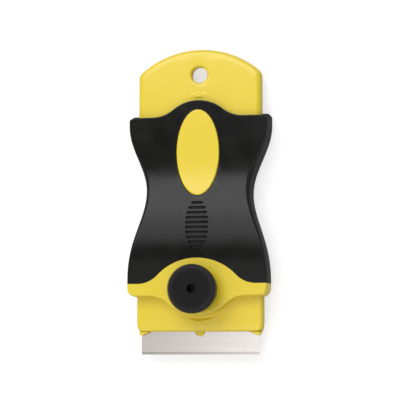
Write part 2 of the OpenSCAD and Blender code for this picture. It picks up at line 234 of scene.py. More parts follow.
# closed solid of rings over one outline, from the bottom cap to the top cap: (inset, height)
def ringStack(name, loop, rings, grid=1.5):
    pts = np.array(loop, float)
    ahead = np.roll(pts, -1, 0) - pts
    ahead /= np.linalg.norm(ahead, axis=1)[:, None]
    out = np.stack([ahead[:, 1], -ahead[:, 0]], 1)
    prior = np.roll(out, 1, 0)
    mitre = (out + prior) / (1 + (out * prior).sum(1))[:, None]
    n, verts, faces = len(pts), [], []

    def lift(xy, z):
        return np.column_stack([xy, np.broadcast_to(along(z, xy[:, 0], xy[:, 1]), len(xy))])

    for k, (inset, z) in enumerate(rings):
        size = np.broadcast_to(along(inset, pts[:, 0], pts[:, 1]), n)[:, None]
        verts.append(lift(pts - mitre * size, z))
        if k:
            a, b = (k - 1) * n, k * n
            faces += [(a + i, a + (i + 1) % n, b + (i + 1) % n, b + i) for i in range(n)]
    used = n * len(rings)
    for k, flip in ((0, True), (len(rings) - 1, False)):
        extra, tris = capFaces(verts[k][:, :2], grid)
        verts.append(lift(extra, rings[k][1]))
        for tri in tris:
            tri = [i + k * n if i < n else i - n + used for i in tri]
            faces.append(tri[::-1] if flip else tri)
        used += len(extra)
    return newObject(name, np.concatenate(verts), faces)


def rounded(r, z, up=True, n=5, lean=0, band=0):  # rings of a rounded edge, from the wall to the face
    def ring(a):
        return (lambda x, y: along(lean, x, y) + along(r, x, y) * (1 - math.cos(a)),
                lambda x, y: along(z, x, y) - (1 if up else -1) * along(r, x, y) * (1 - math.sin(a)))

    rings = [ring(a) for a in quarter(n)]
    if band:  # flat strip that keeps the edge's shading off the face
        rings.append((lambda x, y: along(lean, x, y) + along(r, x, y) + band, z))
    return rings if up else rings[::-1]


def block(name, loop, z0, z1, r0=0.0, r1=0.0, grid=1.5, lean=(0, 0), band=0):  # slab with rounded edges
    low = rounded(r0, z0, False, lean=lean[0], band=band) if r0 else [(lean[0], z0)]
    high = rounded(r1, z1, lean=lean[1], band=band) if r1 else [(lean[1], z1)]
    return ringStack(name, loop, low + high, grid)


def disc(x, y, r, n=48):
    return arc(x, y, r, 0, 360 - 360 / n, n - 1)


def prism(name, loop, z0=below, z1=above, grow=0.0):
    return ringStack(name, loop, [(-grow, z0), (-grow, z1)], coarse)


def peg(name, x, y, r, z0=below, z1=above):
    return prism(name, disc(x, y, r), z0, z1)


def turned(name, profile, x, y, n=128):  # closed profile of (radius, height), turned round an upright axis
    turns = [2 * math.pi * i / n for i in range(n)]
    points = [(x + r * math.cos(a), y + r * math.sin(a), z) for r, z in profile for a in turns]
    m = len(profile)
    faces = [(j * n + i, j * n + (i + 1) % n, (j + 1) % m * n + (i + 1) % n, (j + 1) % m * n + i)
             for j in range(m) for i in range(n)]
    return newObject(name, points, faces)


def settle(body):  # turns live modifiers into a plain mesh
    bpy.context.view_layer.update()
    made = bpy.data.meshes.new_from_object(body.evaluated_get(bpy.context.evaluated_depsgraph_get()))
    old = body.data
    body.modifiers.clear()
    body.data = made
    bpy.data.meshes.remove(old)
    return body


def carve(body, *tools, how="DIFFERENCE"):
    for tool in tools:
        step = body.modifiers.new("carve", "BOOLEAN")
        step.operation, step.object, step.solver = how, tool, "MANIFOLD"
        settle(body)
        mesh = tool.data
        bpy.data.objects.remove(tool)
        bpy.data.meshes.remove(mesh)
        if not body.data.polygons:
            raise RuntimeError("carving left nothing of " + body.name)


def join(body, *tools):
    carve(body, *tools, how="UNION")


def tidyMesh(mesh, near=0.002, holeSides=6):  # carving leaves slivers thinner than near
    work = bmesh.new()
    work.from_mesh(mesh)
    bmesh.ops.remove_doubles(work, verts=work.verts, dist=near * mm)
    bmesh.ops.dissolve_degenerate(work, edges=work.edges, dist=near * mm)
    bmesh.ops.holes_fill(work, edges=[e for e in work.edges if e.is_boundary], sides=holeSides)
    work.to_mesh(mesh)
    work.free()


def dress(piece, node, body, material, sharp=32):
    piece.name = node + "_look"
    mesh = piece.data
    tidyMesh(mesh)
    mesh.materials.clear()
    mesh.materials.append(material)
    mesh.polygons.foreach_set("use_smooth", [True] * len(mesh.polygons))
    mesh.polygons.foreach_set("material_index", [0] * len(mesh.polygons))
    mesh.set_sharp_from_angle(angle=math.radians(sharp))
    mesh.update()
    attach(piece, body)
    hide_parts(node)
    print(node, len(mesh.polygons), "faces")


# node tools

def setInputs(tree, node, inputs):
    for key, value in inputs.items():
        if isinstance(value, bpy.types.NodeSocket):
            tree.links.new(value, node.inputs[key])
        else:
            node.inputs[key].default_value = value


def addNode(tree, kind, inputs=None, **settings):
    made = tree.nodes.new(kind)
    for key, value in settings.items():
        setattr(made, key, value)
    setInputs(tree, made, inputs or {})
    return made


def newTree(name, inputs):  # geometry nodes with named inputs
    tree = bpy.data.node_groups.new(name, "GeometryNodeTree")
    tree.interface.new_socket("Geometry", in_out="INPUT", socket_type="NodeSocketGeometry")
    for label, kind in inputs.items():
        tree.interface.new_socket(label, in_out="INPUT", socket_type="NodeSocket" + kind)
    tree.interface.new_socket("Geometry", in_out="OUTPUT", socket_type="NodeSocketGeometry")
    return tree, addNode(tree, "NodeGroupInput")


def runTree(tree, body, values):  # the body takes the shape that the nodes give it
    step = body.modifiers.new(tree.name, "NODES")
    step.node_group = tree
    for socket in tree.interface.items_tree:
        if socket.name in values:
            step[socket.identifier] = values[socket.name]
    return settle(body)


def hexColor(code):  # sRGB hex to linear
    parts = [int(code[i:i + 2], 16) / 255 for i in (1, 3, 5)]
    return [p / 12.92 if p <= 0.04045 else ((p + 0.055) / 1.055) ** 2.4 for p in parts] + [1.0]


def newMaterial(name):
    made = bpy.data.materials.new(name)
    made.use_nodes = True
    tree = made.node_tree
    return made, tree, tree.nodes["Principled BSDF"], addNode(tree, "ShaderNodeTexCoord").outputs["Object"]


def perMetre(size):  # pattern scale from a real size in millimetres
    return 1 / (size * mm)


noiseSpan = {"From Min": 0.3, "From Max": 0.7}  # where most of a noise pattern lies


# moulded ABS: even satin colour, a faint cloudiness from the melt and a fine spark-eroded grain,
# which is drawn coarser than life so that it shows

mouldedAbs = {"color": "#E5CA2C", "tone": "#E8CF36", "cloud": 9.0, "cloudDetail": 3.0, "grain": 0.35,
              "grainDetail": 2.0, "faceBy": "grain", "face": (0.2, 0.26), "side": 0.55, "turn": (0.3, 0.8),
              "bump": 0.12, "bumpDeep": 0.02, "ior": 1.54, "shine": 0.5}

# thermoplastic rubber: near black, moulded smooth on its faces and with an eroded grain round its sides,
# also drawn coarser than life

rubber = {"color": "#0F0F0E", "tone": "#161615", "cloud": 6.0, "cloudDetail": 4.0, "grain": 0.25,
          "grainDetail": 2.0, "faceBy": "cloud", "face": (0.14, 0.18), "side": 0.8, "turn": (0.9, 0.99),
          "bump": 0.1, "bumpDeep": 0.02, "ior": 1.5, "shine": 0.26}


def makeMoulded(name, look):
    made, tree, shader, at = newMaterial(name)
    noise = {}
    for part in ("cloud", "grain"):
        pattern = addNode(tree, "ShaderNodeTexNoise",
                          {"Vector": at, "Scale": perMetre(look[part]), "Detail": look[part + "Detail"]})
        noise[part] = pattern.outputs["Fac"]
    tint = addNode(tree, "ShaderNodeMix",
                   {"Factor": noise["cloud"], "A": hexColor(look["color"]), "B": hexColor(look["tone"])},
                   data_type="RGBA")
    way = addNode(tree, "ShaderNodeSeparateXYZ",
                  {0: addNode(tree, "ShaderNodeNewGeometry").outputs["Normal"]})
    flat = addNode(tree, "ShaderNodeMath", {0: way.outputs["Z"]}, operation="ABSOLUTE")
    face = addNode(tree, "ShaderNodeMapRange",
                   {"Value": noise[look["faceBy"]], **noiseSpan,
                    "To Min": look["face"][0], "To Max": look["face"][1]})
    rough = addNode(tree, "ShaderNodeMapRange",  # sides come out of the mould duller than faces
                    {"Value": flat.outputs[0], "From Min": look["turn"][0], "From Max": look["turn"][1],
                     "To Min": look["side"], "To Max": face.outputs["Result"]})
    bump = addNode(tree, "ShaderNodeBump",
                   {"Height": noise["grain"], "Strength": look["bump"], "Distance": look["bumpDeep"] * mm})
    setInputs(tree, shader, {"Base Color": tint.outputs["Result"], "Roughness": rough.outputs["Result"],
                             "Normal": bump.outputs["Normal"], "IOR": look["ior"],
                             "Specular IOR Level": look["shine"]})
    return made


# moulded nylon: harder black with a matte eroded texture, drawn coarser than life, with a painted
# highlight round the rim as a lighter gray ring, and painted shade darkening its blind hole

nylon = {"color": "#0D0D0D", "tone": "#141414", "rimHighlight": "#2A2A2B", "holeShade": "#030303",
         "cloud": 2.5, "cloudDetail": 4.0, "grain": 0.3, "grainDetail": 3.0, "rough": (0.42, 0.54),
         "bump": 0.2, "bumpDeep": 0.03, "ior": 1.53, "shine": 0.12, "shadedBore": 1.42, "rim": (5.5, 7.8)}


def makeNylon():
    made, tree, shader, at = newMaterial("moulded nylon, black")
    cloud = addNode(tree, "ShaderNodeTexNoise",
                    {"Vector": at, "Scale": perMetre(nylon["cloud"]), "Detail": nylon["cloudDetail"]})
    grain = addNode(tree, "ShaderNodeTexNoise",
                    {"Vector": at, "Scale": perMetre(nylon["grain"]), "Detail": nylon["grainDetail"]})
    tint = addNode(tree, "ShaderNodeMix",
                   {"Factor": cloud.outputs["Fac"], "A": hexColor(nylon["color"]),
                    "B": hexColor(nylon["tone"])}, data_type="RGBA")
    flat = addNode(tree, "ShaderNodeVectorMath", {0: at, 1: (1, 1, 0)}, operation="MULTIPLY")
    away = addNode(tree, "ShaderNodeVectorMath", {0: flat.outputs[0], 1: (0, plan["knobY"] * mm, 0)},
                   operation="DISTANCE")
    # painted highlight: a lighter gray ring round the rim stands in for the rim's reflection
    rim = addNode(tree, "ShaderNodeMapRange",
                  {0: away.outputs["Value"], "From Min": nylon["rim"][0] * mm,
                   "From Max": nylon["rim"][1] * mm}, interpolation_type="SMOOTHSTEP")
    tint = addNode(tree, "ShaderNodeMix",
                   {"Factor": rim.outputs[0], "A": tint.outputs["Result"], "B": hexColor(nylon["rimHighlight"])},
                   data_type="RGBA")
    # painted shade: near black inside the blind hole, where little light reaches
    shadedBore = addNode(tree, "ShaderNodeMath", {0: away.outputs["Value"], 1: nylon["shadedBore"] * mm},
                   operation="LESS_THAN")
    tint = addNode(tree, "ShaderNodeMix",
                   {"Factor": shadedBore.outputs[0], "A": tint.outputs["Result"], "B": hexColor(nylon["holeShade"])},
                   data_type="RGBA")
    rough = addNode(tree, "ShaderNodeMapRange",
                    {"Value": grain.outputs["Fac"], **noiseSpan,
                     "To Min": nylon["rough"][0], "To Max": nylon["rough"][1]})
    bump = addNode(tree, "ShaderNodeBump",
                   {"Height": grain.outputs["Fac"], "Strength": nylon["bump"],
                    "Distance": nylon["bumpDeep"] * mm})
    setInputs(tree, shader, {"Base Color": tint.outputs["Result"], "Roughness": rough.outputs["Result"],
                             "Normal": bump.outputs["Normal"], "IOR": nylon["ior"],
                             "Specular IOR Level": nylon["shine"]})
    return made


# rolled blade steel: bright, with lines along the edge from rolling, drawn coarser than life so that they
# show, and a ground bevel painted darker, partly for its duller finish and partly as painted shade

steel = {"color": "#D0CAC6", "tone": "#CCC6C2", "grain": (14.0, 0.2, 0.2), "detail": 4.0,
         "rough": (0.12, 0.16), "bevel": "#A8A39E", "level": 0.995, "bump": 0.012, "bumpDeep": 0.02}

# zinc plating: cool gray metal, slightly mottled

zinc = {"color": "#C4C6C8", "tone": "#A9ABAD", "grain": (1.2, 1.2, 1.2), "detail": 4.0,
        "rough": (0.24, 0.42)}

# turned brass: warm yellow metal with tool lines round it, so its pattern changes only along the axis

turnedBrass = {"color": "#C9A550", "tone": "#A9853C", "grain": (1000.0, 1000.0, 0.2), "detail": 3.0,
               "rough": (0.22, 0.38)}


def makeMetal(name, look):
    made, tree, shader, at = newMaterial(name)
    drawn = addNode(tree, "ShaderNodeMapping",
                    {"Vector": at, "Scale": [perMetre(size) for size in look["grain"]]})
    pattern = addNode(tree, "ShaderNodeTexNoise",
                      {"Vector": drawn.outputs["Vector"], "Scale": 1.0, "Detail": look["detail"]})
    grain = pattern.outputs["Fac"]
    tint = addNode(tree, "ShaderNodeMix",
                   {"Factor": grain, "A": hexColor(look["color"]), "B": hexColor(look["tone"])},
                   data_type="RGBA")
    # painted shade: faces that don't lie level take a darker colour, besides the bevel's duller ground
    # finish
    if "bevel" in look:  # what doesn't lie level was ground
        way = addNode(tree, "ShaderNodeSeparateXYZ",
                      {0: addNode(tree, "ShaderNodeNewGeometry").outputs["Normal"]})
        flat = addNode(tree, "ShaderNodeMath", {0: way.outputs["Z"]}, operation="ABSOLUTE")
        tilted = addNode(tree, "ShaderNodeMath", {0: flat.outputs[0], 1: look["level"]},
                         operation="LESS_THAN")
        tint = addNode(tree, "ShaderNodeMix",
                       {"Factor": tilted.outputs[0], "A": tint.outputs["Result"],
                        "B": hexColor(look["bevel"])}, data_type="RGBA")
    if "bump" in look:
        bump = addNode(tree, "ShaderNodeBump",
                       {"Height": grain, "Strength": look["bump"], "Distance": look["bumpDeep"] * mm})
        setInputs(tree, shader, {"Normal": bump.outputs["Normal"]})
    rough = addNode(tree, "ShaderNodeMapRange",
                    {"Value": grain, **noiseSpan, "To Min": look["rough"][0], "To Max": look["rough"][1]})
    setInputs(tree, shader, {"Base Color": tint.outputs["Result"], "Roughness": rough.outputs["Result"],
                             "Metallic": 1.0})
    return made


yellowAbs = makeMoulded("moulded ABS, yellow", mouldedAbs)
blackRubber = makeMoulded("thermoplastic rubber, black", rubber)
blackNylon = makeNylon()
bladeSteel = makeMetal("rolled blade steel", steel)
zincSteel = makeMetal("zinc-plated steel", zinc)
brass = makeMetal("turned brass", turnedBrass)
print("materials made")


# sleeve outlines

sleeve = {"topCorner": 1.0, "lowCorner": 2.5, "backEdgeR": 0.7, "partR": 0.15, "archR": 0.15,
          "windowR": 0.25, "seam": 0.05, "reach": 0.85, "band": 0.12, "uprightY": 1.0,
          "uprightX": (20.0, 22.5), "step": 0.45, "sideSteps": 120, "endSteps": 60,
          "channelSteps": 110, "flareSteps": 4}
underGrip = {"up": 2.15, "soft": 1.5, "r": 0.5, "gap": 0.03}  # the core that the grip is moulded over
arch = {"half": 22.0, "wide": 40.0, "far": 60.0, "steps": 80}
oval = {"half": (7.1, 14.1), "points": 120, "grid": 1.2, "frontRoot": 8.2, "frontR": 0.45,
        "backRoot": 2.0, "backR": 0.4}
frontEdge = ((-31, -27, -14, -2, 7, 15, 27),  # edge radius over y: crisp at the shoulders
             (0.55, 0.4, 0.8, 1.05, 1.3, 0.3, 0.22))
frontDraft = ((-31, -15, 0, 14), (0.28, 0.05, 0.1, 0.35))  # how far the sides lean in towards the front
backDraft = ((-31, 27), (0.7, 0.1))


def frontR(x, y):
    return np.interp(y, *frontEdge)


def frontLean(x, y):  # the sides lean, the top edge stands upright
    upright = (y > plan["topY"] - sleeve["uprightY"]) * np.interp(np.abs(x), sleeve["uprightX"], (1, 0))
    return np.interp(y, *frontDraft) * (1 - upright)


def backLean(x, y):
    return np.interp(y, *backDraft)


def sleeveLoop(reach=0.0):
    rt, rl = sleeve["topCorner"], sleeve["lowCorner"]
    x0, y0 = plan["mouthHalf"] - rl, plan["lowY"] + rl
    x1, y1 = plan["topHalf"] - rt, plan["topY"] + reach - rt
    right = [(x, lowEdge(x)) for x in span(0, x0, sleeve["endSteps"])]
    right += arc(x0, y0, rl, -90, 0)
    right += [(sleeveHalf(y), y) for y in span(y0, y1, sleeve["sideSteps"])[1:-1]]
    right += arc(x1, y1, rt, 0, 90)
    right += [(x, topEdge(x) + reach) for x in span(x1, 0, sleeve["endSteps"])[1:]]
    return evenly(bothSides(right), sleeve["step"])


def coreLoop(reach=0.0):  # the shell under the soft grip
    t, rt = plan["gripT"], sleeve["topCorner"]
    y0 = plan["lowY"] + underGrip["up"]
    x1, y1 = plan["topHalf"] - rt - t, plan["topY"] + reach - rt - t
    right = [(0, y0)] + [(sleeveHalf(y) - t, y) for y in span(y0, y1, sleeve["sideSteps"])]
    right += arc(x1, y1, rt, 0, 90)
    right += [(x, topEdge(x) + reach - t) for x in span(x1, 0, sleeve["endSteps"])[1:]]
    return evenly(bothSides(right), sleeve["step"], underGrip["soft"])


def channelLoop():  # room for the plate, open at both ends
    g = plan["sideGap"]
    right = [(0, plan["jawY"]), (plan["jawHalf"] + g, plan["jawY"])]
    right += [(plateHalf(y) + g, y) for y in span(plan["lowY"], plan["topY"], sleeve["channelSteps"])]
    right += [(plan["tailHalf"] + g, plan["tailY"]), (0, plan["tailY"])]
    return bothSides(right)


def archLoop():  # everything on the grip's side of the arch
    right = [(x, archEdge(x)) for x in span(0, arch["half"], arch["steps"])]
    right += [(arch["wide"], plan["gripY"]), (arch["wide"], arch["far"]), (0, arch["far"])]
    return bothSides(right)


def ovalLoop():
    a, b = oval["half"]
    turns = [2 * math.pi * i / oval["points"] for i in range(oval["points"])]
    return [(a * math.cos(t), plan["ovalY"] + b * math.sin(t)) for t in turns]


def frontTool(name, loop, r):  # upright cutter that opens out by r where it leaves the front
    turns = quarter(sleeve["flareSteps"])
    rings = [(-r * (1 - math.cos(a)), underFront(r * (1 - math.sin(a)))) for a in turns]
    return ringStack(name, loop, [(0, below)] + rings + [(-r, above)], coarse)


def backTool(name, loop, r):  # the same for the flat back
    turns = reversed(quarter(sleeve["flareSteps"]))
    rings = [(-r * (1 - math.cos(a)), r * (1 - math.sin(a))) for a in turns]
    return ringStack(name, loop, [(-r, below)] + rings + [(0, above)], coarse)


def frontBody(name):  # front half of the sleeve, before it is parted into shell and grip
    return block(name, sleeveLoop(), plan["frontFootZ"], frontZ, sleeve["partR"], frontR,
                 lean=(0, frontLean), band=sleeve["band"])


def backBody(name, z0):  # back half, which reaches further up
    return block(name, sleeveLoop(sleeve["reach"]), z0, plan["backTopZ"], sleeve["backEdgeR"],
                 sleeve["partR"], lean=(backLean, 0), band=sleeve["band"])


# bores and pegs that several pieces share

bolt = {"boreR": 2.2, "headR": 4.25, "headZ": 1.725, "neckHalf": 2.1}
dowel = {"x": 12.5, "up": 2.0, "r": 1.25, "high": 2.0, "gap": 0.2, "rootZ": 6.5}
backScrew = {"ys": (24.65, 6.65), "headR": 2.22, "headZ": 1.4, "shankR": 1.22,
             "pilotR": 1.1, "pilotZ": 6.2}


def boltBore():
    return peg("bolt", 0, plan["knobY"], bolt["boreR"])


def dowelPeg(side, z0, z1):
    return peg("dowel", side * dowel["x"], plan["knobY"] + dowel["up"], dowel["r"], z0, z1)


# front half

ribs = {"count": 10, "pitch": 1.6, "midY": -8.05, "halfWidth": 3.9, "radius": 0.47, "depth": 0.78,
        "past": 0.7, "segments": 20, "rings": 13}


def ribTool():  # row of round-ended grooves whose ends follow an oval
    tree, given = newTree("thumb grooves", {"Groove Radius": "Float", "Finish": "Material"})
    ball = addNode(tree, "GeometryNodeMeshUVSphere",
                   {"Segments": ribs["segments"], "Rings": ribs["rings"],
                    "Radius": given.outputs["Groove Radius"]})
    lying = addNode(tree, "GeometryNodeTransform",
                    {"Geometry": ball.outputs["Mesh"], "Rotation": (0, math.pi / 2, 0),
                     "Scale": (ribs["depth"] / ribs["radius"], 1, 1)})
    placed = addNode(tree, "GeometryNodeInstanceOnPoints",
                     {"Points": given.outputs["Geometry"], "Instance": lying.outputs["Geometry"]})
    real = addNode(tree, "GeometryNodeRealizeInstances", {"Geometry": placed.outputs["Instances"]})
    reach = addNode(tree, "GeometryNodeInputNamedAttribute", {"Name": "reach"}, data_type="FLOAT")
    place = addNode(tree, "ShaderNodeSeparateXYZ",
                    {"Vector": addNode(tree, "GeometryNodeInputPosition").outputs[0]})
    hand = addNode(tree, "ShaderNodeMath", {0: place.outputs["X"]}, operation="SIGN")
    shift = addNode(tree, "ShaderNodeMath", {0: hand.outputs[0], 1: reach.outputs["Attribute"]},
                    operation="MULTIPLY")
    push = addNode(tree, "ShaderNodeCombineXYZ", {"X": shift.outputs[0]})
    drawn = addNode(tree, "GeometryNodeSetPosition",
                    {"Geometry": real.outputs["Geometry"], "Offset": push.outputs["Vector"]})
    done = addNode(tree, "GeometryNodeSetMaterial",
                   {"Geometry": drawn.outputs["Geometry"], "Material": given.outputs["Finish"]})
    addNode(tree, "NodeGroupOutput", {"Geometry": done.outputs["Geometry"]})
    last = (ribs["count"] - 1) / 2
    spots, reaches = [], []
    for i in range(ribs["count"]):
        k = i - last
        y = ribs["midY"] + k * ribs["pitch"]
        half = ribs["halfWidth"] * math.sqrt(1 - (k / (last + ribs["past"])) ** 2)
        spots.append((0, y, frontZ(0, y)))
        reaches.append((half - ribs["radius"]) * mm)
    tool = newObject("grooves", spots)
    tool.data.attributes.new("reach", "FLOAT", "POINT").data.foreach_set("value", reaches)
    return runTree(tree, tool, {"Groove Radius": ribs["radius"] * mm, "Finish": blackRubber})


def makeFrontGrip():
    grip = frontBody("grip")
    carve(grip, frontTool("arch", archLoop(), -sleeve["archR"]), how="INTERSECT")
    carve(grip, block("core", coreLoop(), plan["frontFootZ"] - sink, underFront(plan["gripT"]),
                      0, underGrip["r"]))
    carve(grip, frontTool("window", ovalLoop(), sleeve["windowR"]))
    carve(grip, prism("channel", channelLoop(), z1=plan["ceilingZ"]), ribTool())
    dress(grip, "front_grip", "clamp_half", blackRubber)


def makeFrontShell():
    shell = frontBody("shell")
    carve(shell, prism("arch", archLoop(), grow=sleeve["seam"]))
    core = block("core", coreLoop(), plan["frontFootZ"], underFront(plan["gripT"] + underGrip["gap"]),
                 0, underGrip["r"])
    island = block("island", ovalLoop(), oval["frontRoot"], frontZ, 0, oval["frontR"], oval["grid"],
                   band=sleeve["band"])
    join(shell, core, island)
    carve(shell, prism("channel", channelLoop(), z1=plan["ceilingZ"]), boltBore())
    for side in (-1, 1):
        carve(shell, dowelPeg(side, below, plan["ceilingZ"] + dowel["high"] + dowel["gap"]))
    dress(shell, "front_shell", "clamp_half", yellowAbs)


makeFrontGrip()
makeFrontShell()
print("front half made")


# back half

def makeBackGrip():
    grip = backBody("backGrip", 0.0)
    carve(grip, backTool("arch", archLoop(), -sleeve["archR"]), how="INTERSECT")
    carve(grip, block("core", coreLoop(sleeve["reach"]), plan["gripT"], plan["backTopZ"] + sink,
                      underGrip["r"], 0))
    carve(grip, backTool("window", ovalLoop(), sleeve["windowR"]))
    carve(grip, prism("channel", channelLoop(), plan["floorZ"]))
    dress(grip, "back_grip", "handle", blackRubber)


def makeBackShell():
    shell = backBody("backShell", plan["backZ"])
    carve(shell, prism("arch", archLoop(), grow=sleeve["seam"]))
    core = block("core", coreLoop(sleeve["reach"]), plan["gripT"] + underGrip["gap"], plan["backTopZ"],
                 underGrip["r"], 0)
    island = block("island", ovalLoop(), plan["backZ"], oval["backRoot"], oval["backR"], 0, oval["grid"])
    join(shell, core, island)
    carve(shell, prism("channel", channelLoop(), plan["floorZ"]))
    carve(shell, peg("head", 0, plan["knobY"], bolt["headR"], below, bolt["headZ"]))
    h = bolt["neckHalf"]
    square = [(x, plan["knobY"] + y) for x, y in ((-h, -h), (h, -h), (h, h), (-h, h))]
    carve(shell, prism("neck", square))
    for y in backScrew["ys"]:
        carve(shell, peg("seat", 0, y, backScrew["headR"], below, backScrew["headZ"]))
        carve(shell, peg("shank", 0, y, backScrew["shankR"]))
    dress(shell, "back_shell", "handle", yellowAbs)


makeBackGrip()
makeBackShell()
print("back half made")


# plate and jaw

hang = next(m for m in frame["record"]["mounts"] if m["name"] == "hang_hole")
tail = {"arcR": 30.2, "cornerR": 3.0, "edgeR": 1.5, "backR": 0.8, "jawGap": 0.2, "soft": 4.0,
        "step": 0.5, "sideSteps": 90, "cornerSteps": 12, "arcSteps": 60}
hole = {"y": hang["pos_m"][1] / mm, "r": hang["dims"]["r_mm"], "rimR": 0.8, "underR": 1.7,
        "hair": 0.001, "spread": 0.2, "past": 2.0,  # the cutter's ends, a hair off the plate's faces
        "points": 72, "steps": 6}
jaw = {"edgeR": 0.8, "slotR": 0.1, "lowBackR": 0.3, "overlap": 3.0, "soft": 1.4, "step": 0.4,
       "cornerSteps": 16, "sideSteps": 40, "lugOut": 1.25, "lugGap": 0.1, "lugX": (16.6, 19.4),
       "nubR": 1.3, "nubOut": 0.25, "nubZ": 5.26, "nubLean": 0.03,
       "guideX": 11.0, "guideY": -17.55, "guideR": 1.5, "guidePlay": 0.1, "guideGap": 0.2}
stops = {"top": {"half": 3.0, "up": 1.3, "down": 1.0, "y": 34.4, "bend": -0.004, "high": 0.5},
         "low": {"half": 6.0, "up": 0.8, "down": 0.7, "y": -39.15, "bend": 0.036, "high": 0.7}}
ridge = {"square": 0.65, "rows": 8, "points": 48, "root": 0.5,
         "lip": 0.012, "apron": 1.12}  # a hair's step round the foot keeps its shading off the face


def tailLoop():
    cy, fx, r = plan["tailY"] - tail["arcR"], plan["tailHalf"] - tail["cornerR"], tail["cornerR"]
    fy = cy + math.sqrt((tail["arcR"] - r) ** 2 - fx * fx)
    turn = math.degrees(math.atan2(fy - cy, fx))
    y0 = plan["jawBackY"] + tail["jawGap"]
    right = [(0, y0)] + [(plateHalf(y), y) for y in span(y0, plan["topY"], tail["sideSteps"])]
    right += arc(fx, fy, r, 0, turn, tail["cornerSteps"])
    right += arc(0, cy, tail["arcR"], turn, 90, tail["arcSteps"])[1:]
    return evenly(bothSides(right), tail["step"], tail["soft"])


def jawLoop(y0, y1):
    corner = span(y0, plan["jawY"] + jawCorner["reach"], jaw["cornerSteps"])
    right = [(0, y0)] + [(jawSide(y), y) for y in corner]
    right += [(plateHalf(y), y) for y in span(plan["lowY"], y1, jaw["sideSteps"])] + [(0, y1)]
    return evenly(bothSides(right), jaw["step"], jaw["soft"])


def stopRidge(name, size, z):  # low swelling, bent to follow the tongue beside it
    n, rows, lip, apron = ridge["points"], ridge["rows"], ridge["lip"], ridge["apron"]
    rings = [(apron, -ridge["root"]), (apron, lip), (1, lip)]
    rings += [(1 - j / rows, lip + size["high"] * (1 - math.cos(math.pi * j / rows)) / 2)
              for j in range(1, rows)]
    points = []
    for q, h in rings:
        for i in range(n):
            turn = 2 * math.pi * i / n
            c, d = (math.copysign(abs(v) ** ridge["square"], v) for v in (math.cos(turn), math.sin(turn)))
            x = size["half"] * q * c
            across = q * d * (size["up"] if d > 0 else size["down"])
            points.append((x, size["y"] + across + size["bend"] * x * x, z + h))
    points.append((0, size["y"], z + lip + size["high"]))
    last = len(rings) - 1
    faces = [(j * n + i, j * n + (i + 1) % n, (j + 1) * n + (i + 1) % n, (j + 1) * n + i)
             for j in range(last) for i in range(n)]
    faces += [(last * n + i, last * n + (i + 1) % n, len(points) - 1) for i in range(n)]
    faces.append(tuple(range(n))[::-1])
    return newObject(name, points, faces)


def hangTool():  # opens out at the rim and, wider, at the underside
    r, u, z0, z1 = hole["rimR"], hole["underR"], plan["floorZ"], plan["tailZ"]
    turns, hair = quarter(hole["steps"]), hole["hair"]
    rings = [(-u - hole["spread"], z0 - hole["past"]), (-u, z0 - hair)]
    rings += [(-u * (1 - math.sin(a)), z0 + u * (1 - math.cos(a))) for a in turns]
    rings += [(-r * (1 - math.cos(a)), z1 - r * (1 - math.sin(a))) for a in turns]
    rings += [(-r, z1 + hair), (-r - hole["spread"], z1 + hole["past"])]
    return ringStack("hang", disc(0, hole["y"], hole["r"], hole["points"]), rings, coarse)


def lugBlock(side):  # corner that backs up a shoulder of the blade
    footY, tipY = plan["jawY"] - jaw["lugGap"], plan["jawY"] - jaw["lugOut"]
    inX, tipX = jaw["lugX"]
    lug = [(inX, footY), (jawSide(footY), footY), (jawSide(tipY), tipY), (tipX, tipY)]
    lug = [(side * x, y) for x, y in lug][::-1 if side > 0 else 1]
    return prism("lug", lug, plan["lowJawZ"] - sink, plan["tailZ"] - jaw["lugGap"])


def makeBasePlate():
    plate = block("plate", tailLoop(), plan["floorZ"], plan["tailZ"], tail["backR"], tail["edgeR"])
    low = block("lowJaw", jawLoop(plan["jawY"] - jaw["lugOut"], plan["jawBackY"] + jaw["overlap"]),
                plan["floorZ"], plan["lowJawZ"], jaw["lowBackR"], jaw["slotR"])
    join(plate, low, stopRidge("topStop", stops["top"], plan["tailZ"]))
    root, nubY = plan["lowJawZ"] - sink, plan["jawY"] - jaw["nubOut"]
    # the nub in the blade's notch, with a top that falls towards the edge
    join(plate, peg("nub", 0, nubY, jaw["nubR"], root,
                    lambda x, y: jaw["nubZ"] + jaw["nubLean"] * np.minimum(0, y - nubY)))
    for side in (-1, 1):
        join(plate, lugBlock(side))
        # pegs that keep the upper jaw in line
        join(plate, peg("guide", side * jaw["guideX"], jaw["guideY"], jaw["guideR"], root,
                        plan["tailZ"] - jaw["guideGap"]))
    carve(plate, hangTool(), boltBore())
    for y in backScrew["ys"]:
        carve(plate, peg("pilot", 0, y, backScrew["pilotR"], below, backScrew["pilotZ"]))
    dress(plate, "base_plate", "handle", yellowAbs)


def makeJawPlate():
    top = block("jaw", jawLoop(plan["jawY"], plan["jawBackY"]), plan["jawZ"], plan["ceilingZ"],
                jaw["slotR"], jaw["edgeR"])
    join(top, stopRidge("lowStop", stops["low"], plan["ceilingZ"]))
    for side in (-1, 1):
        join(top, dowelPeg(side, dowel["rootZ"], plan["ceilingZ"] + dowel["high"]))
        carve(top, peg("guide", side * jaw["guideX"], jaw["guideY"], jaw["guideR"] + jaw["guidePlay"]))
    carve(top, boltBore())
    dress(top, "jaw_plate", "clamp_half", yellowAbs)


makeBasePlate()
makeJawPlate()
print("plate and jaw made")


# knob

knob = {"r": 7.72, "outerR": endOf("knob", "+x"), "hubZ": endOf("knob", "-z"), "discZ": 14.8,
        "topZ": endOf("knob", "+z"), "edgeR": 0.9, "edgeSteps": 6,
        "hubR": 5.1, "hubEdge": 0.2, "neck": 0.3,
        "insertR": endOf("knob_insert", "+x"), "insertTop": endOf("knob_insert", "+z"),
        "holeR": 1.4, "holeFloor": 17.0, "rim": 0.08, "dish": 0.12, "dishAt": (6.2, 5.0, 4.0, 3.0, 2.2),
        "webOver": 0.4, "webSink": 0.02, "taper": 0.42, "taperFrom": 6.1,
        "teeth": 72, "toothR": 0.3, "toothSides": 6, "toothShort": 1.0}


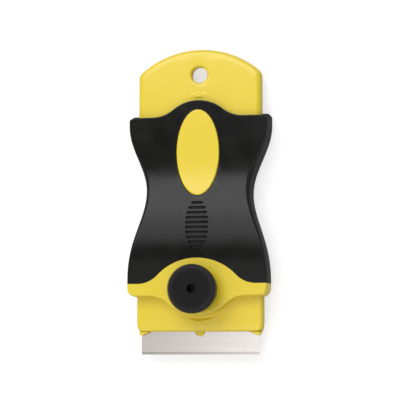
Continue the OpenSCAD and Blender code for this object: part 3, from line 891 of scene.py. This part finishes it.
def knurlTeeth():  # ring of upright teeth round the rim
    tree, given = newTree("rim teeth", {"Teeth": "Int", "Ring Radius": "Float", "Tooth Radius": "Float",
                                        "Tooth Height": "Float", "Finish": "Material"})
    circle = addNode(tree, "GeometryNodeMeshCircle",
                     {"Vertices": given.outputs["Teeth"], "Radius": given.outputs["Ring Radius"]})
    tooth = addNode(tree, "GeometryNodeMeshCylinder",
                    {"Vertices": knob["toothSides"], "Radius": given.outputs["Tooth Radius"],
                     "Depth": given.outputs["Tooth Height"]})
    turn = addNode(tree, "FunctionNodeAlignRotationToVector",
                   {"Vector": addNode(tree, "GeometryNodeInputPosition").outputs[0]},
                   axis="X", pivot_axis="Z")
    placed = addNode(tree, "GeometryNodeInstanceOnPoints",
                     {"Points": circle.outputs["Mesh"], "Instance": tooth.outputs["Mesh"],
                      "Rotation": turn.outputs["Rotation"]})
    real = addNode(tree, "GeometryNodeRealizeInstances", {"Geometry": placed.outputs["Instances"]})
    done = addNode(tree, "GeometryNodeSetMaterial",
                   {"Geometry": real.outputs["Geometry"], "Material": given.outputs["Finish"]})
    addNode(tree, "NodeGroupOutput", {"Geometry": done.outputs["Geometry"]})
    tool = newObject("teeth", [])
    runTree(tree, tool, {"Teeth": knob["teeth"], "Ring Radius": (knob["outerR"] - knob["toothR"]) * mm,
                         "Tooth Radius": knob["toothR"] * mm, "Finish": blackNylon,
                         "Tooth Height": (knob["topZ"] - knob["discZ"] - knob["toothShort"]) * mm})
    middle = (0, plan["knobY"] * mm, (knob["topZ"] + knob["discZ"]) / 2 * mm)
    tool.data.transform(Matrix.Translation(middle))
    return tool


def makeKnob():
    k, e = knob, knob["edgeR"]
    turns, wide = quarter(k["edgeSteps"]), k["r"] - e
    outer = [(k["hubR"] - k["hubEdge"], k["hubZ"]), (k["hubR"], k["hubZ"] + k["hubEdge"]),
             (k["hubR"], k["discZ"] - k["neck"]), (k["hubR"] + k["neck"], k["discZ"]), (wide, k["discZ"])]
    outer += [(wide + e * math.sin(a), k["discZ"] + e - e * math.cos(a)) for a in turns[1:]]
    outer += [(wide + e * math.cos(a), k["topZ"] - e + e * math.sin(a)) for a in turns]
    outer += [(r, k["topZ"] - k["dish"] * (1 - (r / k["dishAt"][0]) ** 2)) for r in k["dishAt"]]
    low = k["topZ"] - k["dish"]
    outer += [(k["holeR"] + k["rim"], low), (k["holeR"], low - k["rim"])]
    inner = [(k["holeR"], k["insertTop"]), (k["insertR"], k["insertTop"]), (k["insertR"], k["hubZ"])]
    body = turned("knob", outer + inner, 0, plan["knobY"])
    join(body, knurlTeeth(), peg("web", 0, plan["knobY"], k["holeR"] + k["webOver"],
                                 k["insertTop"] - k["webSink"], k["holeFloor"]))
    axis = Vector((0, plan["knobY"] * mm))
    for v in body.data.vertices:  # the rim draws in towards its underside
        out = v.co.xy - axis
        if out.length > k["taperFrom"] * mm:
            down = (k["topZ"] * mm - v.co.z) / ((k["topZ"] - k["discZ"]) * mm)
            v.co.xy = axis + out * (1 - k["taper"] / k["r"] * down)
    dress(body, "knob", "knob", blackNylon)


makeKnob()
print("knob made")


# metal parts that stay as the frame has them

for node, material in (("blade", bladeSteel), ("clamp_bolt", zincSteel), ("back_screws", zincSteel),
                       ("knob_washer", zincSteel), ("knob_insert", brass)):
    part = frame["nodes"][node]
    part.data.materials.clear()
    part.data.materials.append(material)
print("metal parts dressed")


# studio

floorPaint = {"color": "#B6B6B6", "lift": 0.62, "half": 3000}
dome = {"low": 0.3, "fill": 0.84, "rise": (0.1, 0.55), "horizon": (0.05, 0.2)}
# soft-edged patches of the dome, each with where it starts, is full, is still full and ends on every axis:
# the dark card is mirrored in the level faces, the flag dims the right, the glow is mirrored in the blade
card = {"level": 0.03, "X": (-2.0, -1.5, 0.6, 0.8), "Y": (0.022, 0.095, 0.185, 0.212),
        "Z": (0.0, 0.2, 2.0, 3.0)}
flag = {"level": 0.35, "X": (0.2, 0.35, 2.0, 3.0), "Y": (-0.5, -0.4, 0.3, 0.45), "Z": (0.0, 0.2, 2.0, 3.0)}
glow = {"level": 1.4, "X": (-0.24, -0.145, 0.1, 0.25), "Y": (-0.8, -0.6, 0.02, 0.035),
        "Z": (0.0, 0.3, 2.0, 3.0)}
# lamp and clipping in metres, the camera's place and aim in millimetres
keyBox = {"at": (-0.2, 0.5, 0.86), "towards": (-0.2, 0, 0), "width": 0.64, "depth": 0.61, "level": 3.25}
view = {"from": (117.197, -51.283, 559.956), "to": (-0.21, 0.459, 5.0), "lens": 156.9, "sensor": 36.0,
        "near": 0.01, "far": 50}


def makeFloor():
    h = floorPaint["half"]
    floor = newObject("floor", [(-h, -h, 0), (h, -h, 0), (h, h, 0), (-h, h, 0)], [(0, 1, 2, 3)])
    # plain matte paint, lifted to white for the camera
    made = bpy.data.materials.new("painted floor, white")
    made.use_nodes = True
    tree = made.node_tree
    tree.nodes.clear()
    ray = addNode(tree, "ShaderNodeLightPath")
    seen = addNode(tree, "ShaderNodeMath",
                   {0: ray.outputs["Is Camera Ray"], 1: ray.outputs["Is Glossy Ray"]}, operation="MAXIMUM")
    seen = addNode(tree, "ShaderNodeMath", {0: seen.outputs[0], 1: ray.outputs["Is Transmission Ray"]},
                   operation="MAXIMUM")
    shine = addNode(tree, "ShaderNodeMath", {0: seen.outputs[0], 1: floorPaint["lift"]},
                    operation="MULTIPLY")
    paint = addNode(tree, "ShaderNodeBsdfDiffuse", {"Color": hexColor(floorPaint["color"])})
    lift = addNode(tree, "ShaderNodeEmission", {"Strength": shine.outputs[0]})
    both = addNode(tree, "ShaderNodeAddShader", {0: paint.outputs[0], 1: lift.outputs[0]})
    under = addNode(tree, "ShaderNodeMixShader",  # nothing shows from below
                    {0: addNode(tree, "ShaderNodeNewGeometry").outputs["Backfacing"], 1: both.outputs[0],
                     2: addNode(tree, "ShaderNodeBsdfTransparent").outputs[0]})
    addNode(tree, "ShaderNodeOutputMaterial", {"Surface": under.outputs[0]})
    floor.data.materials.append(made)


def makeWorld():
    world = bpy.data.worlds.new("studio")
    bpy.context.scene.world = world
    world.use_nodes = True
    tree = world.node_tree
    tree.nodes.clear()
    way = addNode(tree, "ShaderNodeSeparateXYZ",
                  {0: addNode(tree, "ShaderNodeTexCoord").outputs["Generated"]})

    def patch(area):
        made = None
        for axis in "XYZ":
            a, b, c, d = area[axis]
            for low, high, first in ((a, b, 0.0), (c, d, 1.0)):
                edge = addNode(tree, "ShaderNodeMapRange",
                               {0: way.outputs[axis], "From Min": low, "From Max": high,
                                "To Min": first, "To Max": 1.0 - first}, interpolation_type="SMOOTHSTEP")
                made = edge if made is None else addNode(
                    tree, "ShaderNodeMath", {0: made.outputs[0], 1: edge.outputs[0]}, operation="MULTIPLY")
        return made.outputs[0]

    sky = addNode(tree, "ShaderNodeMapRange",
                  {0: way.outputs["Z"], "From Min": dome["rise"][0], "From Max": dome["rise"][1],
                   "To Min": dome["low"], "To Max": dome["fill"]}, interpolation_type="SMOOTHSTEP")
    level = addNode(tree, "ShaderNodeMapRange",
                    {0: patch(flag), "To Min": sky.outputs[0], "To Max": flag["level"]})
    level = addNode(tree, "ShaderNodeMapRange",
                    {0: patch(card), "To Min": level.outputs[0], "To Max": card["level"]})
    level = addNode(tree, "ShaderNodeMath", {0: patch(glow), 1: glow["level"], 2: level.outputs[0]},
                    operation="MULTIPLY_ADD")
    ray = addNode(tree, "ShaderNodeLightPath")
    horizon = addNode(tree, "ShaderNodeMapRange",
                      {0: way.outputs["Z"], "From Min": dome["horizon"][0], "From Max": dome["horizon"][1],
                       "To Min": 1.0, "To Max": 0.0}, interpolation_type="SMOOTHSTEP")
    # metal shows the white behind the floor, and the studio above it
    mirror = addNode(tree, "ShaderNodeMath", {0: ray.outputs["Is Glossy Ray"], 1: horizon.outputs[0]},
                     operation="MULTIPLY")
    white = addNode(tree, "ShaderNodeMath",
                    {0: ray.outputs["Is Camera Ray"], 1: ray.outputs["Is Transmission Ray"]},
                    operation="MAXIMUM")
    white = addNode(tree, "ShaderNodeMath", {0: white.outputs[0], 1: mirror.outputs[0]},
                    operation="MAXIMUM")
    seen = addNode(tree, "ShaderNodeMix", {"Factor": white.outputs[0], "A": level.outputs[0], "B": 1.0})
    back = addNode(tree, "ShaderNodeBackground",
                   {"Color": (1, 1, 1, 1), "Strength": seen.outputs["Result"]})
    addNode(tree, "ShaderNodeOutputWorld", {"Surface": back.outputs[0]})


def makeKeyBox():
    lamp = bpy.data.lights.new("key box", "AREA")
    lamp.shape, lamp.size, lamp.size_y = "RECTANGLE", keyBox["width"], keyBox["depth"]
    lamp.energy = keyBox["level"] * math.pi * keyBox["width"] * keyBox["depth"]
    made = bpy.data.objects.new("key box", lamp)
    made.location = keyBox["at"]
    made.rotation_mode = "QUATERNION"
    aim = Vector(keyBox["towards"]) - Vector(keyBox["at"])
    made.rotation_quaternion = aim.to_track_quat("-Z", "Y")
    bpy.context.scene.collection.objects.link(made)


def makeCamera():
    here, there = Vector(view["from"]) * mm, Vector(view["to"]) * mm
    lens = bpy.data.cameras.new("camera")
    lens.lens, lens.sensor_width = view["lens"], view["sensor"]
    lens.clip_start, lens.clip_end = view["near"], view["far"]
    camera = bpy.data.objects.new("camera", lens)
    look = (there - here).normalized()
    right = look.cross(Vector((0, 1, 0))).normalized()
    up = right.cross(look)
    camera.matrix_world = Matrix.Translation(here) @ Matrix((right, up, -look)).transposed().to_4x4()
    bpy.context.scene.collection.objects.link(camera)
    bpy.context.scene.camera = camera


makeFloor()
makeWorld()
makeKeyBox()
makeCamera()
bpy.context.scene.view_settings.view_transform = "Standard"
print("studio ready")
